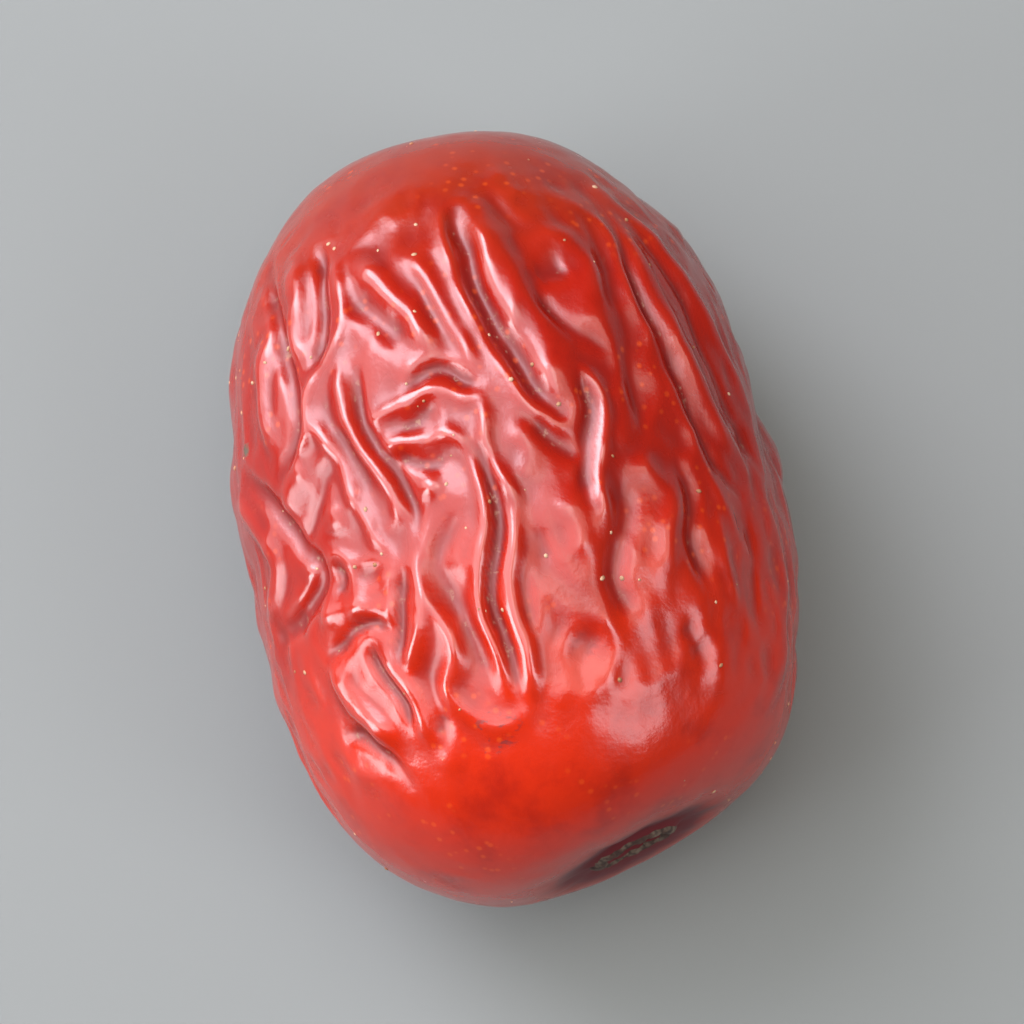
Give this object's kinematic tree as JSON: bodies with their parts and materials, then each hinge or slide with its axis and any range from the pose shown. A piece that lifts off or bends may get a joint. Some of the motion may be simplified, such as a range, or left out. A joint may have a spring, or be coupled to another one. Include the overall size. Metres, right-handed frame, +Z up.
{
  "type": "jujube",
  "caption": "Dried red jujube: an oblong, glossy, deeply wrinkled fruit lying on its side, with a hollowed stem end and a dimpled tip; food or still-life prop.",
  "frame": {"origin": "under the middle of the fruit's outline, on the flat spot that it rests on", "axes": "+X along the fruit's long axis towards its stem end, +Z up"},
  "size_m": [0.0414, 0.0298, 0.0278],
  "materials": {
    "dried_skin": "satin-glossy, wrinkled dried skin"
  },
  "bodies": {
    "root": {"fruit": "dried_skin"}
  },
  "joints": []
}
